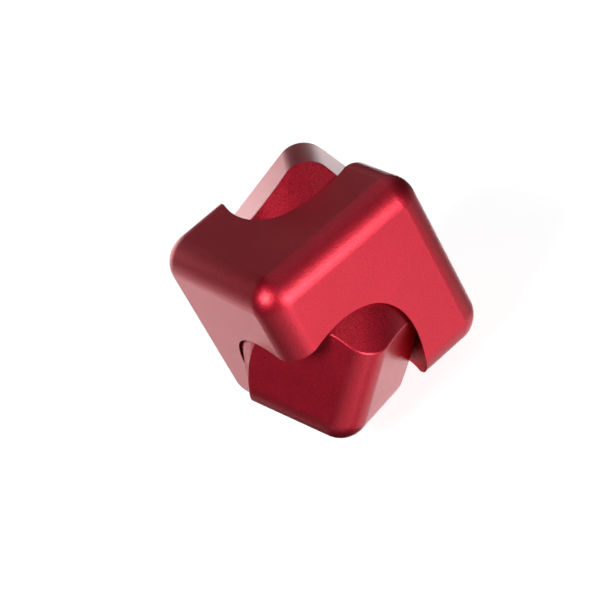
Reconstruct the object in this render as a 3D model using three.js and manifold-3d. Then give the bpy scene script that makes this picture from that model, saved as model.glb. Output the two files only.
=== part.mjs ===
// A spinning fidget cube, in millimetres, +Z up.
//
// The cube lies square to the axes with its centre at the origin, its front towards -Y. It spins about a
// body diagonal, from the corner at (-, -, -) to the corner at (+, +, +). A cylindrical cut round that
// diagonal parts the cube into a belt, which keeps six of the corners, and two corner caps, lower and
// upper, which keep one each. A finger on one cap and a thumb on the other hold the cube while the belt
// spins between them. The belt has a web across its middle with a ball bearing in a seat on each side.
// Each cap has a spigot in the inner ring of its own bearing, held by a screw and a washer from the back,
// and is pressed into the belt together with its bearing. So either cap also turns alone, and the cube's
// faces are whole only where both caps are turned flush with the belt.

import * as THREE from "three";
import { RoundedBoxGeometry } from "three/addons/geometries/RoundedBoxGeometry.js";
import { mergeVertices } from "three/addons/utils/BufferGeometryUtils.js";
import Module from "manifold-3d";

const wasm = await Module();
wasm.setup();

// ---- Driving dimensions ----

const EDGE = 28; // of the whole cube
const FILLET = 4; // radius on all its edges and corners
const BORE_RADIUS = 12.25; // the belt's two wide bores, where the caps sit
const CAP_RADIUS = 11.85; // the caps' round walls
const WEB = 12; // thickness of the belt's web, between the wide bores
const CAP_GAP = 0.4; // from the web to a cap's back

// How far each cap is turned about the spin axis from where it is flush with the belt, at rest.
const LOWER_CAP_TURN = 46.3;
const UPPER_CAP_TURN = -37;

// The two bearings are of the 6 x 12 x 4 mm miniature size, with 1/16 inch balls.
const BEARING_BORE = 6;
const BEARING_OUTSIDE = 12;
const BEARING_WIDTH = 4;
const BALL_DIAMETER = 1.588;
const BALL_COUNT = 8;
const INNER_LAND = 3.95; // outer radius of the inner ring's shoulders
const OUTER_LAND = 5.2; // inner radius of the outer ring's shoulders
const RACE_CONFORMITY = 0.52; // race groove radius as a share of the ball's diameter
const RACE_CLEARANCE = 0.03;
const SHIELD_THICKNESS = 0.2;
const SHIELD_RECESS = { radius: 5.5, depth: 0.4 };
const SHIELD_HOLE = 4.1;
const CAGE = { inner: 4.1, outer: 5.05, base: -1.2, rim: 0.6, pocket: 0.88 };

// What holds a cap on its bearing: an M3 low-head screw, and a washer that clamps the inner ring.
const SCREW = { radius: 1.5, length: 8, headRadius: 2.75, headHeight: 1.1, hexRadius: 1.155, hexDepth: 0.75 };
const TAPPED_HOLE = { radius: 1.53, depth: 9.5 };
const WASHER = { inner: 1.6, outer: 3.8, thickness: 0.5 };
const SHIM = { inner: 3.05, outer: 3.8 };
const SPIGOT_SHORTFALL = 0.2; // the spigot ends this far inside the ring, so that the washer grips the ring
const RIB_HOLE = 4.9; // through the middle of the web, round the screw heads

const FIT = 0.02; // gap on each side of a face that touches or is pressed into its neighbour
const BEYOND = 5; // how far a cutting tool runs past what it cuts

// Facets round a circle, and across half of a fillet.
const WIDE = 60;
const RING = 36;
const SMALL = 20;
const FILLET_STEPS = 3;
const BALL_FACETS = [10, 6]; // round and from pole to pole
const GROOVE_STEPS = 4;

// ---- Dimensions that follow ----

const CENTRE_TO_CORNER = (EDGE * Math.sqrt(3)) / 2; // if the corner were sharp
const WEB_FACE = WEB / 2; // heights are measured from the cube's centre, outwards along the spin axis
const CAP_BACK = WEB_FACE + CAP_GAP;
const BEARING_MIDDLE = WEB_FACE - BEARING_WIDTH / 2;
const SEAT_FLOOR = WEB_FACE - BEARING_WIDTH;
const WASHER_TOP = SEAT_FLOOR - FIT;
const HEAD_TOP = WASHER_TOP - WASHER.thickness - FIT;
const PITCH_RADIUS = (INNER_LAND + OUTER_LAND) / 2;

// ---- Materials ----

const metal = (color, roughness) => new THREE.MeshStandardMaterial({ color, roughness, metalness: 1 });
const anodised = metal(0xc8283a, 0.35);
const bearingSteel = metal(0xc9ccd0, 0.2);
const pressedSteel = metal(0xb4b6b8, 0.35);
const screwSteel = metal(0x2b2c2f, 0.4);
const nylon = new THREE.MeshStandardMaterial({ color: 0xd9c9a3, roughness: 0.55, metalness: 0 });

// ---- From geometry to solid and back ----

function solid(geometry) {
  const bare = geometry.index ? geometry.toNonIndexed() : geometry.clone();
  bare.deleteAttribute("normal");
  bare.deleteAttribute("uv");
  const merged = mergeVertices(bare, 1e-4);
  return new wasm.Manifold(
    new wasm.Mesh({
      numProp: 3,
      vertProperties: merged.attributes.position.array,
      triVerts: new Uint32Array(merged.index.array),
    }),
  );
}

function geometryOf(manifold) {
  const mesh = manifold.getMesh();
  const positions = new Float32Array(mesh.numVert * 3);
  for (let vertex = 0; vertex < mesh.numVert; vertex++) {
    const start = vertex * mesh.numProp;
    positions.set(mesh.vertProperties.subarray(start, start + 3), vertex * 3);
  }
  return new THREE.BufferGeometry()
    .setAttribute("position", new THREE.BufferAttribute(positions, 3))
    .setIndex(new THREE.BufferAttribute(mesh.triVerts, 1));
}

// ---- Shapes round the spin axis ----

// A closed outline of [radius, height] pairs, anticlockwise, turned round Z.
function turned(outline, facets) {
  const points = [...outline, outline[0]].map(([radius, height]) => new THREE.Vector2(radius, height));
  return new THREE.LatheGeometry(points, facets).rotateX(Math.PI / 2);
}

function ring(inner, outer, low, high, facets) {
  return turned([[inner, low], [outer, low], [outer, high], [inner, high]], facets);
}

function rod(radius, low, high, facets) {
  return new THREE.CylinderGeometry(radius, radius, high - low, facets)
    .rotateX(Math.PI / 2)
    .translate(0, 0, (low + high) / 2);
}

// Every shape is modelled with the spin axis along Z, so the cube stands on its corner there, with edges
// that rise in three directions round Z. X is square to the first edge, so half a turn about X swaps the
// cube's two ends.
const edgeOnItsCorner = (azimuth) => {
  const angle = THREE.MathUtils.degToRad(azimuth);
  const across = Math.sqrt(2 / 3);
  return new THREE.Vector3(across * Math.cos(angle), across * Math.sin(angle), Math.sqrt(1 / 3));
};
const ontoItsCorner = new THREE.Matrix4().makeBasis(...[90, 210, 330].map(edgeOnItsCorner));

function wholeCube() {
  return solid(new RoundedBoxGeometry(EDGE, EDGE, EDGE, FILLET_STEPS, FILLET).applyMatrix4(ontoItsCorner));
}

// ---- The belt ----

function beltGeometry() {
  const end = CENTRE_TO_CORNER + BEYOND;
  const seat = BEARING_OUTSIDE / 2;
  let belt = wholeCube().subtract(solid(rod(RIB_HOLE, -end, end, RING)));
  for (const way of [-1, 1]) {
    const span = (from) => [Math.min(way * from, way * end), Math.max(way * from, way * end)];
    belt = belt.subtract(solid(rod(BORE_RADIUS, ...span(WEB_FACE), WIDE)));
    belt = belt.subtract(solid(rod(seat, ...span(SEAT_FLOOR), WIDE)));
  }
  return geometryOf(belt);
}

// ---- One side's parts, modelled below the web; heights below the cube's centre are negative ----

function capGeometry() {
  const round = solid(rod(CAP_RADIUS, -CENTRE_TO_CORNER - BEYOND, -CAP_BACK, WIDE));
  const spigotEnd = -(SEAT_FLOOR + SPIGOT_SHORTFALL);
  const spigot = solid(rod(BEARING_BORE / 2 - 1.5 * FIT, -CAP_BACK - 1, spigotEnd, RING));
  const hole = solid(rod(TAPPED_HOLE.radius, spigotEnd - TAPPED_HOLE.depth, 0, SMALL));
  return geometryOf(wholeCube().intersect(round).add(spigot).subtract(hole));
}

function shimGeometry() {
  return ring(SHIM.inner, SHIM.outer, -CAP_BACK + FIT, -WEB_FACE - FIT, SMALL);
}

function washerGeometry() {
  return ring(WASHER.inner, WASHER.outer, -WASHER_TOP, -WASHER_TOP + WASHER.thickness, SMALL);
}

function screwGeometry() {
  const headTop = -HEAD_TOP + SCREW.headHeight;
  const head = solid(rod(SCREW.headRadius, -HEAD_TOP, headTop, SMALL));
  const shank = solid(rod(SCREW.radius, -HEAD_TOP - SCREW.length, -HEAD_TOP + SCREW.headHeight / 2, SMALL));
  const socket = solid(rod(SCREW.hexRadius, headTop - SCREW.hexDepth, headTop + BEYOND, 6));
  return geometryOf(head.add(shank).subtract(socket));
}

// The groove that the balls run in, from one shoulder to the other, as [radius, height] pairs.
// side is 1 for the outer ring, whose groove bulges outwards, and -1 for the inner ring.
function raceGroove(side, land) {
  const radius = RACE_CONFORMITY * BALL_DIAMETER;
  const bottom = PITCH_RADIUS + side * (BALL_DIAMETER / 2 + RACE_CLEARANCE);
  const centre = bottom - side * radius;
  const opening = Math.acos(Math.abs(land - centre) / radius);
  return Array.from({ length: GROOVE_STEPS + 1 }, (_, step) => {
    const angle = opening * ((2 * step) / GROOVE_STEPS - 1);
    return [centre + side * radius * Math.cos(angle), radius * Math.sin(angle)];
  });
}

function outerRingGeometry() {
  const half = BEARING_WIDTH / 2 - FIT;
  const outside = BEARING_OUTSIDE / 2 - FIT;
  const step = half - SHIELD_RECESS.depth;
  return turned([
    [outside, -half], [outside, half],
    [SHIELD_RECESS.radius, half], [SHIELD_RECESS.radius, step], [OUTER_LAND, step],
    ...raceGroove(1, OUTER_LAND).reverse(),
    [OUTER_LAND, -step], [SHIELD_RECESS.radius, -step], [SHIELD_RECESS.radius, -half],
  ], RING);
}

function innerRingGeometry() {
  const half = BEARING_WIDTH / 2 - FIT;
  const bore = BEARING_BORE / 2;
  return turned([
    [bore, -half], [INNER_LAND, -half], ...raceGroove(-1, INNER_LAND), [INNER_LAND, half], [bore, half],
  ], RING);
}

function shieldGeometry() {
  return ring(SHIELD_HOLE, SHIELD_RECESS.radius - 1.5 * FIT, 0, SHIELD_THICKNESS, RING);
}

const ballPlace = (index) => {
  const angle = (2 * Math.PI * index) / BALL_COUNT;
  return [PITCH_RADIUS * Math.cos(angle), PITCH_RADIUS * Math.sin(angle), 0];
};

// A crown cage: a ring whose pockets are open on one side, so that it snaps over the balls.
function cageGeometry() {
  let cage = solid(ring(CAGE.inner, CAGE.outer, CAGE.base, CAGE.rim, RING));
  for (let index = 0; index < BALL_COUNT; index++) {
    const pocket = new THREE.SphereGeometry(CAGE.pocket, ...BALL_FACETS).translate(...ballPlace(index));
    cage = cage.subtract(solid(pocket));
  }
  return geometryOf(cage);
}

function ballGeometry() {
  return new THREE.SphereGeometry(BALL_DIAMETER / 2, ...BALL_FACETS);
}

// ---- Assembly ----

function part(name, geometry, material, height = 0) {
  const mesh = new THREE.Mesh(geometry, material);
  mesh.name = name;
  mesh.position.z = height;
  return mesh;
}

// Everything on one side of the web. turn is the cap's, and over turns the side upside down for the top.
function side(name, turn, over) {
  const withCap = new THREE.Group().add(
    part(`${name}_corner_cap`, capGeometry(), anodised),
    part(`${name}_cap_shim`, shimGeometry(), bearingSteel),
    part(`${name}_bearing_inner_ring`, innerRingGeometry(), bearingSteel, -BEARING_MIDDLE),
    part(`${name}_clamp_washer`, washerGeometry(), pressedSteel),
    part(`${name}_cap_screw`, screwGeometry(), screwSteel),
  );

  const shieldInset = BEARING_WIDTH / 2 - SHIELD_RECESS.depth + FIT;
  const withBelt = new THREE.Group().add(
    part(`${name}_bearing_outer_ring`, outerRingGeometry(), bearingSteel, -BEARING_MIDDLE),
    part(`${name}_bearing_cap_side_shield`, shieldGeometry(), pressedSteel,
      -BEARING_MIDDLE - shieldInset - SHIELD_THICKNESS),
    part(`${name}_bearing_web_side_shield`, shieldGeometry(), pressedSteel, -BEARING_MIDDLE + shieldInset),
  );

  const ballTrain = new THREE.Group().add(part(`${name}_ball_cage`, cageGeometry(), nylon));
  for (let index = 0; index < BALL_COUNT; index++) {
    const ball = part(`${name}_ball_${index + 1}`, ballGeometry(), bearingSteel);
    ball.position.set(...ballPlace(index));
    ballTrain.add(ball);
  }
  ballTrain.position.z = -BEARING_MIDDLE;

  const placed = new THREE.Group();
  for (const group of [withCap, withBelt, ballTrain]) {
    const flipped = new THREE.Group().add(group);
    flipped.rotation.x = over ? Math.PI : 0;
    const turning = new THREE.Group().add(flipped);
    turning.rotation.z = group === withCap ? THREE.MathUtils.degToRad(turn) : 0;
    placed.add(turning);
  }
  return placed;
}

const fidgetCube = new THREE.Group().add(
  part("spinning_belt", beltGeometry(), anodised),
  side("lower", LOWER_CAP_TURN, false),
  side("upper", UPPER_CAP_TURN, true),
);
fidgetCube.setRotationFromMatrix(ontoItsCorner.clone().transpose());

export default fidgetCube;
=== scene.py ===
"""The looks of a spinning fidget cube: a red anodised cube cut round one body diagonal, whose six-cornered
belt spins on ball bearings between two corner caps.

Shapes are made in millimetres with the spin axis along Z and the cube's centre at the origin, as if each
belonged to the upper side, and are then put in their places in the row frame, in metres.
"""

import math

import bmesh
import bpy
import numpy as np
from mathutils import Euler, Matrix, Vector


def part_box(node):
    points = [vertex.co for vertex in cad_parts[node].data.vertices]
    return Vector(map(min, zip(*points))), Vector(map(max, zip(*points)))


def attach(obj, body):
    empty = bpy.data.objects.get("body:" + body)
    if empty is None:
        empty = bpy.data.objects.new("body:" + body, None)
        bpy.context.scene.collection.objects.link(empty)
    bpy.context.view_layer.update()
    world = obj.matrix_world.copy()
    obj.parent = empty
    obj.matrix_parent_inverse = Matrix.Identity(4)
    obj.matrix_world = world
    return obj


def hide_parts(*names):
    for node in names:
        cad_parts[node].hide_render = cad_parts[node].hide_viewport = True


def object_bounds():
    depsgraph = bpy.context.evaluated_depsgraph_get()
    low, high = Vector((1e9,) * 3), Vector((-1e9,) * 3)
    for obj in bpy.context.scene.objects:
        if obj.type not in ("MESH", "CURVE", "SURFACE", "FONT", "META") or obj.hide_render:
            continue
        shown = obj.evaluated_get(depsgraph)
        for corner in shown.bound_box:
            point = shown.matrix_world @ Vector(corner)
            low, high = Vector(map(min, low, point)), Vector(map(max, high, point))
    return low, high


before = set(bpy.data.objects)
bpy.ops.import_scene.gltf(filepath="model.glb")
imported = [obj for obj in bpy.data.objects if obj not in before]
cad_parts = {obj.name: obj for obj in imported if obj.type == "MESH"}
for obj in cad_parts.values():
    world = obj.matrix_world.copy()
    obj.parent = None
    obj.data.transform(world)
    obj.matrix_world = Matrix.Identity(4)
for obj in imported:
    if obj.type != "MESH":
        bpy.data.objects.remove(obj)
cad_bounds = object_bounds()

# ---- Sizes, in millimetres and degrees ----

METRE = 1000.0
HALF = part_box("spinning_belt")[1][0] * METRE  # half of the whole cube's edge
BELT_ROUNDING = (4.3, 8.0)  # a fillet's radius, and the angle at which it meets the flat faces
CAP_ROUNDING = (4.0, 4.0)
BORE_RADIUS = 12.25
CAP_RADIUS = 11.85
WEB_FACE = 6.0  # this and the other heights are measured from the cube's centre, outwards
CAP_BACK = 6.4
SEAT_RADIUS = 6.0
SEAT_FLOOR = 2.0
SEAT_EDGE = 0.2
BACK_EDGE = 0.25
RIB_HOLE = 4.9
LIP = 0.14  # how far a broken edge reaches back from where it would be sharp
CAP_TURNS = {"lower": 46.3, "upper": -37.0}  # from flush with the belt, at rest

SPIGOT_RADIUS = 2.97
SPIGOT_END = 2.2
TAPPED_HOLE = {"radius": 1.53, "end": 11.7, "cone": 0.8}

BEARING = {"bore": 3.0, "outside": 5.98, "low": 2.02, "high": 5.98, "inner_land": 3.95, "outer_land": 5.2}
BALL_RADIUS = 0.794
BALL_COUNT = 8
GROOVE_RADIUS = 0.826
GROOVE_CLEARANCE = 0.03
SHIELD = {"hole": 4.1, "rim": 5.47, "thickness": 0.2, "recess_radius": 5.5, "recess": 0.4,
          "cap_side_low": 5.6, "web_side_low": 2.2}
CAGE = {"inner": 4.1, "outer": 5.05, "low": 3.4, "high": 5.2, "edge": 0.08, "pocket": 0.86}
SHIM = {"inner": 3.05, "outer": 3.8, "low": 6.02, "high": 6.38, "edge": 0.05}
WASHER = {"inner": 1.6, "outer": 3.8, "low": 1.48, "high": 1.98, "edge": 0.08}
SCREW = {"radius": 1.49, "core": 1.19, "pitch": 0.5, "head": 2.75, "head_low": 0.36, "head_high": 1.46,
         "hex": 1.155, "hex_depth": 0.75, "end": 9.4}

BEYOND = 6.0  # how far a cutting tool runs past the cube

# How finely curves are divided.
ROUND = 360
SMALL_ROUND = 96
HALF_FILLET = 15
GROOVE_STEPS = 10
THREAD_STEPS = 8
SCREW_ROUND = 48
BALL_ROUND = 32
POCKET_ROUND = 24

# The angles above which an edge is shaded as sharp. Each is between a fillet's steps and its crease.
BELT_SHARP = 5.0
CAP_SHARP = 3.8
SMALL_PART_SHARP = 30.0

WELD = 1e-5  # points nearer than this are one
HALVINGS = 40  # of the cube's height, to find its surface

GRAIN, GRAIN_DEPTH = 0.2, 0.08  # of the red parts' blasted finish

# Cube axes to the frame whose Z is the spin axis, and back.
edges_on_corner = [
    Vector((math.sqrt(2 / 3) * math.cos(turn), math.sqrt(2 / 3) * math.sin(turn), math.sqrt(1 / 3)))
    for turn in map(math.radians, (90, 210, 330))
]
ONTO_CORNER = Matrix(edges_on_corner).transposed()
FROM_CORNER = ONTO_CORNER.transposed().to_4x4()


# ---- The whole cube as a formula and as a mesh ----


def fillet_centre(rounding):
    """Its distance from the cube's centre along each axis."""
    fillet, crease = rounding
    return HALF - fillet * math.cos(math.radians(crease))


def distance_outside(points, rounding):
    """How far points, in the spin axis's frame, are outside the cube: below zero inside."""
    cube_points = np.abs(points @ np.array(ONTO_CORNER))
    rounded = np.linalg.norm(np.maximum(cube_points - fillet_centre(rounding), 0), axis=-1) - rounding[0]
    return np.maximum(rounded, cube_points.max(axis=-1) - HALF)


def height_at(radius, azimuths, rounding):
    """The height of the cube's upper surface at a radius from the spin axis, for each azimuth."""
    low = np.zeros_like(azimuths)
    high = np.full_like(azimuths, HALF * math.sqrt(3))
    for _ in range(HALVINGS):
        middle = (low + high) / 2
        points = np.stack([radius * np.cos(azimuths), radius * np.sin(azimuths), middle], axis=-1)
        inside = distance_outside(points, rounding) < 0
        low, high = np.where(inside, middle, low), np.where(inside, high, middle)
    return low


def mesh_object(name, vertices, faces):
    mesh = bpy.data.meshes.new(name)
    mesh.from_pydata(vertices, [], faces)
    shape = bmesh.new()
    shape.from_mesh(mesh)
    bmesh.ops.remove_doubles(shape, verts=shape.verts, dist=WELD)
    bmesh.ops.recalc_face_normals(shape, faces=shape.faces)
    shape.to_mesh(mesh)
    shape.free()
    made = bpy.data.objects.new(name, mesh)
    bpy.context.scene.collection.objects.link(made)
    return made


def whole_cube(rounding):
    """The rounded cube, its fillets cut slightly short by its flat faces so that they meet at a crease."""
    angles = np.radians(np.linspace(0, 45, HALF_FILLET + 1))
    slopes = np.concatenate([-np.tan(angles[::-1]), np.tan(angles)])
    ends = np.concatenate([-np.ones(len(angles)), np.ones(len(angles))])
    count = len(slopes)
    vertices, faces = [], []
    for axis in range(3):
        for way in (-1, 1):
            first = len(vertices)
            for i in range(count):
                for j in range(count):
                    direction = np.roll([way, slopes[i], slopes[j]], axis)
                    centre = fillet_centre(rounding) * np.roll([way, ends[i], ends[j]], axis)
                    vertices.append(centre + rounding[0] * direction / np.linalg.norm(direction))
            for i in range(count - 1):
                for j in range(count - 1):
                    corner = first + i * count + j
                    faces.append((corner, corner + 1, corner + count + 1, corner + count))
    rounded = mesh_object("cube", vertices, faces)
    corners = [(x, y, z) for x in (-HALF, HALF) for y in (-HALF, HALF) for z in (-HALF, HALF)]
    sides = [(0, 1, 3, 2), (4, 5, 7, 6), (0, 1, 5, 4), (2, 3, 7, 6), (0, 2, 6, 4), (1, 3, 7, 5)]
    cut(rounded, "INTERSECT", mesh_object("faces", corners, sides))
    rounded.data.transform(ONTO_CORNER.to_4x4())
    return rounded


def cut(target, operation, tool):
    """Joins, cuts or intersects target with tool, and uses tool up."""
    step = target.modifiers.new("cut", "BOOLEAN")
    step.operation = operation
    step.solver = "EXACT"
    step.object = tool
    bpy.context.view_layer.update()
    result = bpy.data.meshes.new_from_object(target.evaluated_get(bpy.context.evaluated_depsgraph_get()))
    target.modifiers.clear()
    target.data = result
    bpy.data.objects.remove(tool)


# ---- Shapes round the spin axis ----


def swept(name, outline, columns):
    """A solid round Z. outline holds (radius, height) pairs, each a number or one value per column.

    An outline that starts and ends at radius 0 is closed by its two poles. Any other closes on itself.
    """
    azimuths = np.arange(columns) * 2 * math.pi / columns
    vertices, rows = [], []
    for radius, height in outline:
        first = len(vertices)
        if np.isscalar(radius) and radius == 0:
            vertices.append((0, 0, float(np.mean(height))))
            rows.append([first] * columns)
        else:
            radii = np.broadcast_to(radius, columns)
            heights = np.broadcast_to(height, columns)
            vertices += list(zip(radii * np.cos(azimuths), radii * np.sin(azimuths), heights))
            rows.append(list(range(first, first + columns)))
    poles = np.isscalar(outline[0][0]) and outline[0][0] == 0
    pairs = list(zip(rows, rows[1:])) if poles else list(zip(rows, rows[1:] + rows[:1]))
    faces = []
    for row, following in pairs:
        for column in range(columns):
            after = (column + 1) % columns
            corners = (row[column], row[after], following[after], following[column])
            faces.append(tuple(dict.fromkeys(corners)))
    return mesh_object(name, vertices, faces)


def broken_edges(outline, size):
    """The outline with every corner cut back by size, as on a turned or stamped ring."""
    result = []
    for index, here in enumerate(outline):
        for other in (outline[index - 1], outline[(index + 1) % len(outline)]):
            away = Vector(other) - Vector(here)
            result.append(tuple(Vector(here) + away.normalized() * min(size, away.length / 3)))
    return result


def finished(shape, side, body, material, nodes, turn=0.0, sharp=SMALL_PART_SHARP):
    """Puts a shape in its place, shades it, and makes it stand for its CAD nodes."""
    over = Matrix.Rotation(math.pi, 4, "X") if side == "lower" else Matrix.Identity(4)
    turned_by = Matrix.Rotation(math.radians(turn), 4, "Z")
    shape.data.transform(Matrix.Scale(1 / METRE, 4) @ FROM_CORNER @ turned_by @ over)
    shape.data.shade_smooth()
    shape.data.set_sharp_from_angle(angle=math.radians(sharp))
    shape.data.materials.clear()
    shape.data.materials.append(material)
    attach(shape, body)
    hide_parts(*nodes)
    return shape


# ---- Materials ----


def new_material(name, **values):
    material = bpy.data.materials.new(name)
    material.use_nodes = True
    shader = material.node_tree.nodes["Principled BSDF"]
    for socket, value in values.items():
        shader.inputs[socket.replace("_", " ")].default_value = value
    return material, material.node_tree, shader


def add_node(tree, kind, inputs=None, **settings):
    made = tree.nodes.new(kind)
    for setting, value in settings.items():
        setattr(made, setting, value)
    for socket, value in (inputs or {}).items():
        if isinstance(value, bpy.types.NodeSocket):
            tree.links.new(value, made.inputs[socket])
        else:
            made.inputs[socket].default_value = value
    return made


def noise(tree, grain_mm, detail=2.0, roughness=0.5):
    """Object-space noise whose features are about grain_mm across."""
    place = add_node(tree, "ShaderNodeTexCoord").outputs["Object"]
    texture = add_node(tree, "ShaderNodeTexNoise",
                       {"Vector": place, "Scale": METRE / grain_mm, "Detail": detail, "Roughness": roughness})
    return texture.outputs["Fac"]


def ramp(tree, factor, start, start_color, end, end_color):
    made = add_node(tree, "ShaderNodeValToRGB", {"Fac": factor})
    made.color_ramp.elements[0].position = start
    made.color_ramp.elements[0].color = start_color
    made.color_ramp.elements[1].position = end
    made.color_ramp.elements[1].color = end_color
    return made.outputs["Color"]


def anodised(name, grain_strength, speckle):
    """Red dyed oxide on fine bead-blasted aluminium: a rough metal under a smoother clear skin.

    speckle is how far the dye is lighter and darker from grain to grain.
    """
    material, tree, shader = new_material(
        name, Metallic=1.0, Roughness=0.45, Coat_Weight=1.0, Coat_Roughness=0.3, Coat_IOR=1.42)
    cloud = noise(tree, 7.0, detail=3.0)
    color = ramp(tree, cloud, 0.3, (0.72, 0.016, 0.044, 1), 0.7, (0.76, 0.018, 0.050, 1))
    grain = noise(tree, GRAIN, detail=2.0, roughness=0.6)
    dots = add_node(tree, "ShaderNodeMapRange", {"Value": grain, "From Min": 0.3, "From Max": 0.7,
                                                 "To Min": 1 - speckle, "To Max": 1 + speckle})
    speckled = add_node(tree, "ShaderNodeVectorMath", {"Vector": color, "Scale": dots.outputs["Result"]},
                        operation="SCALE")
    tree.links.new(speckled.outputs["Vector"], shader.inputs["Base Color"])
    rough = add_node(tree, "ShaderNodeMapRange",
                     {"Value": noise(tree, 2.5), "To Min": 0.42, "To Max": 0.48})
    tree.links.new(rough.outputs["Result"], shader.inputs["Roughness"])
    for socket, share in (("Normal", 1.0), ("Coat Normal", 0.6)):
        bump = add_node(tree, "ShaderNodeBump", {"Height": grain, "Strength": grain_strength * share,
                                                 "Distance": GRAIN_DEPTH / METRE})
        tree.links.new(bump.outputs["Normal"], shader.inputs[socket])
    return material


def steel(name, color, roughness, grain_mm, depth_mm):
    """Ground or pressed steel, with fine marks and a slight unevenness of tone."""
    material, tree, shader = new_material(name, Metallic=1.0)
    shade = ramp(tree, noise(tree, 1.5), 0.3, (*[0.92 * c for c in color], 1), 0.7, (*color, 1))
    tree.links.new(shade, shader.inputs["Base Color"])
    rough = add_node(tree, "ShaderNodeMapRange",
                     {"Value": noise(tree, 0.6), "To Min": roughness * 0.85, "To Max": roughness * 1.15})
    tree.links.new(rough.outputs["Result"], shader.inputs["Roughness"])
    marks = add_node(tree, "ShaderNodeBump", {"Height": noise(tree, grain_mm), "Strength": 0.3,
                                              "Distance": depth_mm / METRE})
    tree.links.new(marks.outputs["Normal"], shader.inputs["Normal"])
    return material


def nylon():
    material, tree, shader = new_material("moulded_nylon", Roughness=0.5, Subsurface_Weight=0.1)
    shade = ramp(tree, noise(tree, 1.0), 0.3, (0.56, 0.44, 0.22, 1), 0.7, (0.64, 0.52, 0.29, 1))
    tree.links.new(shade, shader.inputs["Base Color"])
    skin = add_node(tree, "ShaderNodeBump", {"Height": noise(tree, 0.15), "Strength": 0.3,
                                             "Distance": 0.01 / METRE})
    tree.links.new(skin.outputs["Normal"], shader.inputs["Normal"])
    return material


OUTSIDE_FINISH = anodised("anodised_red", 0.5, 0.16)
WALL_FINISH = anodised("anodised_red_turned_wall", 0.7, 0.42)
RING_STEEL = steel("ground_bearing_steel", (0.72, 0.73, 0.75), 0.25, 0.3, 0.003)
BALL_STEEL = steel("polished_ball_steel", (0.80, 0.81, 0.83), 0.08, 0.4, 0.001)
SHEET_STEEL = steel("pressed_sheet_steel", (0.62, 0.63, 0.65), 0.35, 0.25, 0.004)
BLACK_STEEL = steel("black_oxide_steel", (0.045, 0.045, 0.05), 0.42, 0.2, 0.006)
NYLON = nylon()


# ---- The belt and the two caps ----

AZIMUTHS = np.arange(ROUND) * 2 * math.pi / ROUND


def rim_at(radius, rounding):
    """Height and outward fall of the cube's surface where a cylinder of that radius cuts it."""
    step = 0.05
    inside, height, outside = (
        height_at(here, AZIMUTHS, rounding) for here in (radius - step, radius, radius + step))
    fall = (inside - outside) / (2 * step)
    return height, fall


def belt_shape():
    """The cube less its wide bores, bearing seats and rib hole, with each bore's acute lip just broken."""
    height, fall = rim_at(BORE_RADIUS, BELT_ROUNDING)
    run = LIP / np.sqrt(1 + fall**2)
    inner = (BORE_RADIUS, height - LIP)
    outer = (BORE_RADIUS + run, height - fall * run)
    past = tuple(2 * np.array(outer) - np.array([np.full(ROUND, BORE_RADIUS), inner[1]]))
    beyond = HALF * math.sqrt(3) + BEYOND
    one_side = [
        (BORE_RADIUS + 2 * BEYOND, beyond), past, inner, (BORE_RADIUS, WEB_FACE),
        (SEAT_RADIUS + SEAT_EDGE, WEB_FACE), (SEAT_RADIUS, WEB_FACE - SEAT_EDGE),
        (SEAT_RADIUS, SEAT_FLOOR), (RIB_HOLE, SEAT_FLOOR),
    ]
    # The lower end is the upper one turned half round X, which takes each azimuth to its opposite sign.
    mirrored = [(other_end(radius), -other_end(rise)) for radius, rise in reversed(one_side)]
    bores = swept("bores", [(0, beyond), *one_side, *mirrored, (0, -beyond)], ROUND)
    belt = whole_cube(BELT_ROUNDING)
    cut(belt, "DIFFERENCE", bores)
    return belt


def other_end(values):
    return values if np.isscalar(values) else np.roll(values[::-1], 1)


def cap_shape():
    """The corner inside a cylinder, with its back, its spigot and the tapped hole up the middle."""
    height, fall = rim_at(CAP_RADIUS, CAP_ROUNDING)
    run = LIP / np.sqrt(1 + fall**2)
    outer = (CAP_RADIUS, height - LIP)
    inner = (CAP_RADIUS - run, height + fall * run)
    past = tuple(1.5 * np.array(inner) - 0.5 * np.array([np.full(ROUND, CAP_RADIUS), outer[1]]))
    beyond = HALF * math.sqrt(3) + BEYOND
    hole = TAPPED_HOLE
    envelope = swept("envelope", [
        (0, beyond), (CAP_RADIUS + BEYOND, beyond), (CAP_RADIUS + BEYOND, past[1]), past, outer,
        (CAP_RADIUS, CAP_BACK + BACK_EDGE), (CAP_RADIUS - BACK_EDGE, CAP_BACK),
        (SPIGOT_RADIUS, CAP_BACK), (SPIGOT_RADIUS, SPIGOT_END + BACK_EDGE),
        (SPIGOT_RADIUS - BACK_EDGE, SPIGOT_END), (hole["radius"], SPIGOT_END),
        (hole["radius"], hole["end"]), (0, hole["end"] + hole["cone"]),
    ], ROUND)
    cap = whole_cube(CAP_ROUNDING)
    cut(cap, "INTERSECT", envelope)
    return cap


def finish_walls(shape, radius):
    """Gives the turned walls, which are a set distance from the spin axis, the coarser finish."""
    near, along = 0.02, 0.05
    shape.data.materials.append(WALL_FINISH)
    axis = Vector((1, 1, 1)).normalized()
    for face in shape.data.polygons:
        out = face.center - axis * face.center.dot(axis)
        if abs(out.length * METRE - radius) < near and abs(face.normal.dot(axis)) < along:
            face.material_index = 1


belt = finished(belt_shape(), "upper", "belt", OUTSIDE_FINISH, ["spinning_belt"],
                sharp=BELT_SHARP)
belt.name = "belt"
finish_walls(belt, BORE_RADIUS)
for side, turn in CAP_TURNS.items():
    cap = finished(cap_shape(), side, f"{side}_cap", OUTSIDE_FINISH,
                   [f"{side}_corner_cap"], turn=turn, sharp=CAP_SHARP)
    cap.name = f"{side}_cap_shell"
    finish_walls(cap, CAP_RADIUS)


# ---- Bearings ----

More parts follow.
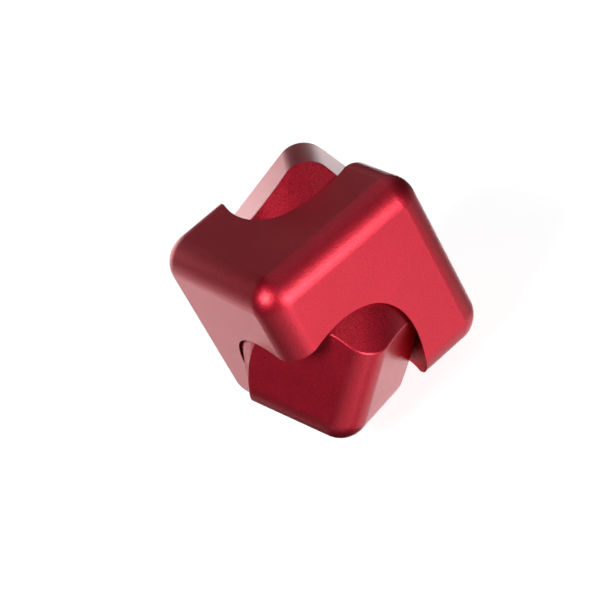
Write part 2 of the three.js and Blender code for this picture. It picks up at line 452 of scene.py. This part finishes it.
BEARING_MIDDLE = (BEARING["low"] + BEARING["high"]) / 2
PITCH_RADIUS = (BEARING["inner_land"] + BEARING["outer_land"]) / 2


def race_groove(way, land):
    """The groove from one shoulder to the other. way is 1 in the outer ring and -1 in the inner."""
    centre = PITCH_RADIUS + way * (BALL_RADIUS + GROOVE_CLEARANCE - GROOVE_RADIUS)
    opening = math.acos(abs(land - centre) / GROOVE_RADIUS)
    angles = [opening * (2 * step / GROOVE_STEPS - 1) for step in range(GROOVE_STEPS + 1)]
    return [(centre + way * GROOVE_RADIUS * math.cos(a), BEARING_MIDDLE + GROOVE_RADIUS * math.sin(a))
            for a in angles]


def outer_ring():
    low, high = BEARING["low"], BEARING["high"]
    recess, depth, land = SHIELD["recess_radius"], SHIELD["recess"], BEARING["outer_land"]
    edge = 0.15
    return swept("outer_ring", [
        (BEARING["outside"], low + edge), (BEARING["outside"], high - edge),
        (BEARING["outside"] - edge, high), (recess, high), (recess, high - depth), (land, high - depth),
        *reversed(race_groove(1, land)),
        (land, low + depth), (recess, low + depth), (recess, low), (BEARING["outside"] - edge, low),
    ], SMALL_ROUND)


def inner_ring():
    low, high, land, edge = BEARING["low"], BEARING["high"], BEARING["inner_land"], 0.1
    return swept("inner_ring", [
        (BEARING["bore"], low + edge), (BEARING["bore"] + edge, low), (land - edge, low),
        (land, low + edge), *race_groove(-1, land),
        (land, high - edge), (land - edge, high), (BEARING["bore"] + edge, high),
        (BEARING["bore"], high - edge),
    ], SMALL_ROUND)


def plain_ring(name, ring):
    inner, outer, low, high = (ring[size] for size in ("inner", "outer", "low", "high"))
    outline = [(inner, low), (outer, low), (outer, high), (inner, high)]
    return swept(name, broken_edges(outline, ring["edge"]), SMALL_ROUND)


def shield(low):
    """A pressed disc with a shallow step between its rim and its lip."""
    high = low + SHIELD["thickness"]
    step = 0.04
    rim_step, lip_step = 5.1, 4.9
    return swept("shield", [
        (SHIELD["hole"], low), (lip_step, low), (rim_step, low + step), (SHIELD["rim"], low + step),
        (SHIELD["rim"], high), (rim_step, high), (lip_step, high - step), (SHIELD["hole"], high - step),
    ], SMALL_ROUND)


def sphere(name, radius, centre, columns):
    rows = columns // 2
    angles = [math.pi * (step / rows - 0.5) for step in range(rows + 1)]
    outline = [(radius * math.cos(a), radius * math.sin(a)) for a in angles]
    outline[0], outline[-1] = (0, -radius), (0, radius)
    made = swept(name, outline, columns)
    made.data.transform(Matrix.Translation(centre))
    return made


def crown_cage():
    """A ring with a round pocket for each ball, open on the side towards the web."""
    cage = plain_ring("cage", CAGE)
    for index in range(BALL_COUNT):
        turn = 2 * math.pi * index / BALL_COUNT
        centre = Vector((PITCH_RADIUS * math.cos(turn), PITCH_RADIUS * math.sin(turn), BEARING_MIDDLE))
        cut(cage, "DIFFERENCE", sphere("pocket", CAGE["pocket"], centre, POCKET_ROUND))
    return cage


def ball(node):
    low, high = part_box(node)
    centre = (Vector(low) + Vector(high)) / 2
    return sphere(node, BALL_RADIUS / METRE, centre, BALL_ROUND)


# ---- Screws ----


def screw():
    """A low-head socket screw with its thread cut as a helix."""
    overlap, edge = 0.1, 0.15
    turns = np.arange(SCREW_ROUND) / SCREW_ROUND
    pitch, length = SCREW["pitch"], SCREW["end"] - SCREW["head_high"]
    depth = SCREW["radius"] - SCREW["core"]
    rows = int(length / pitch * THREAD_STEPS)
    root = SCREW["head_high"] - overlap
    shank = [(0, root), (SCREW["core"], root)]
    for row in range(rows + 1):
        height = SCREW["head_high"] + length * row / rows
        phase = (height / pitch - turns) % 1
        crest = 1 - np.abs(2 * phase - 1)
        fade = min(1, (SCREW["end"] - height) / pitch)
        shank.append((SCREW["core"] + depth * crest * fade, height))
    shank.append((0, SCREW["end"]))
    made = swept("screw", shank, SCREW_ROUND)
    head = swept("head", [
        (0, SCREW["head_low"]), (SCREW["head"] - edge, SCREW["head_low"]),
        (SCREW["head"], SCREW["head_low"] + edge), (SCREW["head"], SCREW["head_high"]),
        (0, SCREW["head_high"]),
    ], SMALL_ROUND)
    cut(made, "UNION", head)
    floor = SCREW["head_low"] + SCREW["hex_depth"]
    below = SCREW["head_low"] - SCREW["hex_depth"]
    socket = swept("hex", [(0, below), (SCREW["hex"], below), (SCREW["hex"], floor), (0, floor)], 6)
    cut(made, "DIFFERENCE", socket)
    return made


def place(shape, side, kind, body, slot_name, material, turn=0.0):
    node = f"{side}_{kind}"
    finished(shape, side, body, material, [node], turn=turn)
    shape.name = f"{node}_piece"


for side, turn in CAP_TURNS.items():
    place(outer_ring(), side, "bearing_outer_ring", "belt", "bearing_steel", RING_STEEL)
    place(inner_ring(), side, "bearing_inner_ring", f"{side}_cap", "bearing_steel", RING_STEEL)
    for facing in ("cap", "web"):
        place(shield(SHIELD[f"{facing}_side_low"]), side, f"bearing_{facing}_side_shield", "belt",
              "pressed_steel", SHEET_STEEL)
    place(plain_ring("shim", SHIM), side, "cap_shim", f"{side}_cap", "bearing_steel", RING_STEEL)
    place(plain_ring("washer", WASHER), side, "clamp_washer", f"{side}_cap", "pressed_steel", SHEET_STEEL)
    place(screw(), side, "cap_screw", f"{side}_cap", "blackened_steel", BLACK_STEEL, turn=turn)
    place(crown_cage(), side, "ball_cage", f"{side}_balls", "nylon", NYLON)
    for number in range(1, BALL_COUNT + 1):
        node = f"{side}_ball_{number}"
        made = ball(node)
        made.name = f"{node}_piece"
        made.data.shade_smooth()
        made.data.materials.append(BALL_STEEL)
        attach(made, f"{side}_balls")
        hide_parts(node)


# ---- Floor, lights and camera ----

# Angles in degrees, lens in millimetres and the rest in metres. Right and up are how far the cube's centre
# is from the middle of the view.
CAMERA = {"turn": 20.51, "down": 31.82, "roll": -29.61, "distance": 0.31847, "lens": 140.07,
          "right": 0.00299, "up": 0.00168}

# The pale tent's size in metres, its paint, the dim light from all round, and the softboxes' distance.
STUDIO = {"radius": 2.0, "height": 1.5, "bend": 0.5, "albedo": 0.5, "mottle": 0.01, "glow": 0.85,
          "room": 0.015, "reach": 0.45}

# Azimuth, elevation, edge in metres and power in watts of each softbox.
SOFTBOXES = [
    (174, 9, 0.24, 1.000), (180, 30, 0.35, 0.169), (180, -30, 0.35, 0.418), (225, -30, 0.35, 0.183),
    (255, 40, 0.20, 1.042), (265, -28, 0.20, 0.036), (310, -28, 0.20, 0.049), (325, -12, 0.20, 0.068),
    (340, -28, 0.20, 0.116), (356, 2, 0.26, 0.340), (26, -30, 0.28, 0.520), (42, -44, 0.30, 0.280),
    (45, 30, 0.35, 0.065), (60, 60, 0.35, 0.107), (90, -30, 0.35, 0.071), (120, 60, 0.35, 0.060),
    (120, -60, 0.35, 0.280), (135, -30, 0.35, 0.095),
]


def camera_rotation():
    level = Euler((math.radians(90 - CAMERA["down"]), 0, math.radians(-CAMERA["turn"]))).to_matrix()
    return level @ Matrix.Rotation(math.radians(CAMERA["roll"]), 3, "Z")


def add_camera():
    data = bpy.data.cameras.new("camera")
    data.sensor_width = 36
    data.lens = CAMERA["lens"]
    camera = bpy.data.objects.new("camera", data)
    rotation = camera_rotation()
    place_in_view = Vector((-CAMERA["right"], -CAMERA["up"], CAMERA["distance"]))
    camera.matrix_world = Matrix.Translation(rotation @ place_in_view) @ rotation.to_4x4()
    bpy.context.scene.collection.objects.link(camera)
    bpy.context.scene.camera = camera


def add_softbox(name, azimuth, elevation, size, power):
    """A square light that faces the cube. Azimuth 0 is behind the cube and 90 on its right."""
    data = bpy.data.lights.new(name, "AREA")
    data.shape = "SQUARE"
    data.size = size
    data.energy = power
    light = bpy.data.objects.new(name, data)
    around, above = math.radians(azimuth), math.radians(elevation)
    level = Vector((math.sin(around), math.cos(around), 0))
    direction = level * math.cos(above) + Vector((0, 0, math.sin(above)))
    light.location = direction * STUDIO["reach"]
    light.rotation_euler = direction.to_track_quat("Z", "Y").to_euler()
    light.visible_camera = False
    bpy.context.scene.collection.objects.link(light)


def add_floor():
    """A pale floor that curves up into a backdrop all round, lit from within like a photo tent.

    The cube is lit as if it were held in the air, so the floor is left out of its reflections and shadows.
    """
    drop, radius, bend = cad_bounds[0][2], STUDIO["radius"], STUDIO["bend"]
    angles = np.radians(np.arange(0, 91, 15))
    curve = [(radius + bend * math.sin(a), drop + bend * (1 - math.cos(a))) for a in angles]
    top = drop + STUDIO["height"]
    floor = swept("floor", [(0, drop), *curve, (radius + bend, top), (0, top)], SMALL_ROUND)
    material, tree, shader = new_material(
        "pale_floor", Roughness=0.9, Emission_Color=(1, 1, 1, 1), Emission_Strength=STUDIO["glow"])
    darker, lighter = STUDIO["albedo"] - STUDIO["mottle"], STUDIO["albedo"] + STUDIO["mottle"]
    shade = ramp(tree, noise(tree, 60.0), 0.3, (*[darker] * 3, 1), 0.7, (*[lighter] * 3, 1))
    tree.links.new(shade, shader.inputs["Base Color"])
    floor.data.materials.append(material)
    floor.visible_glossy = False
    floor.visible_diffuse = False
    floor.visible_shadow = False


def add_world():
    world = bpy.data.worlds.new("studio")
    world.use_nodes = True
    background = world.node_tree.nodes["Background"]
    background.inputs["Color"].default_value = (1, 1, 1, 1)
    background.inputs["Strength"].default_value = STUDIO["room"]
    bpy.context.scene.world = world


add_camera()
add_floor()
add_world()
for number, (azimuth, elevation, size, power) in enumerate(SOFTBOXES, 1):
    add_softbox(f"softbox_{number}", azimuth, elevation, size, power)
bpy.context.scene.view_settings.view_transform = "Standard"
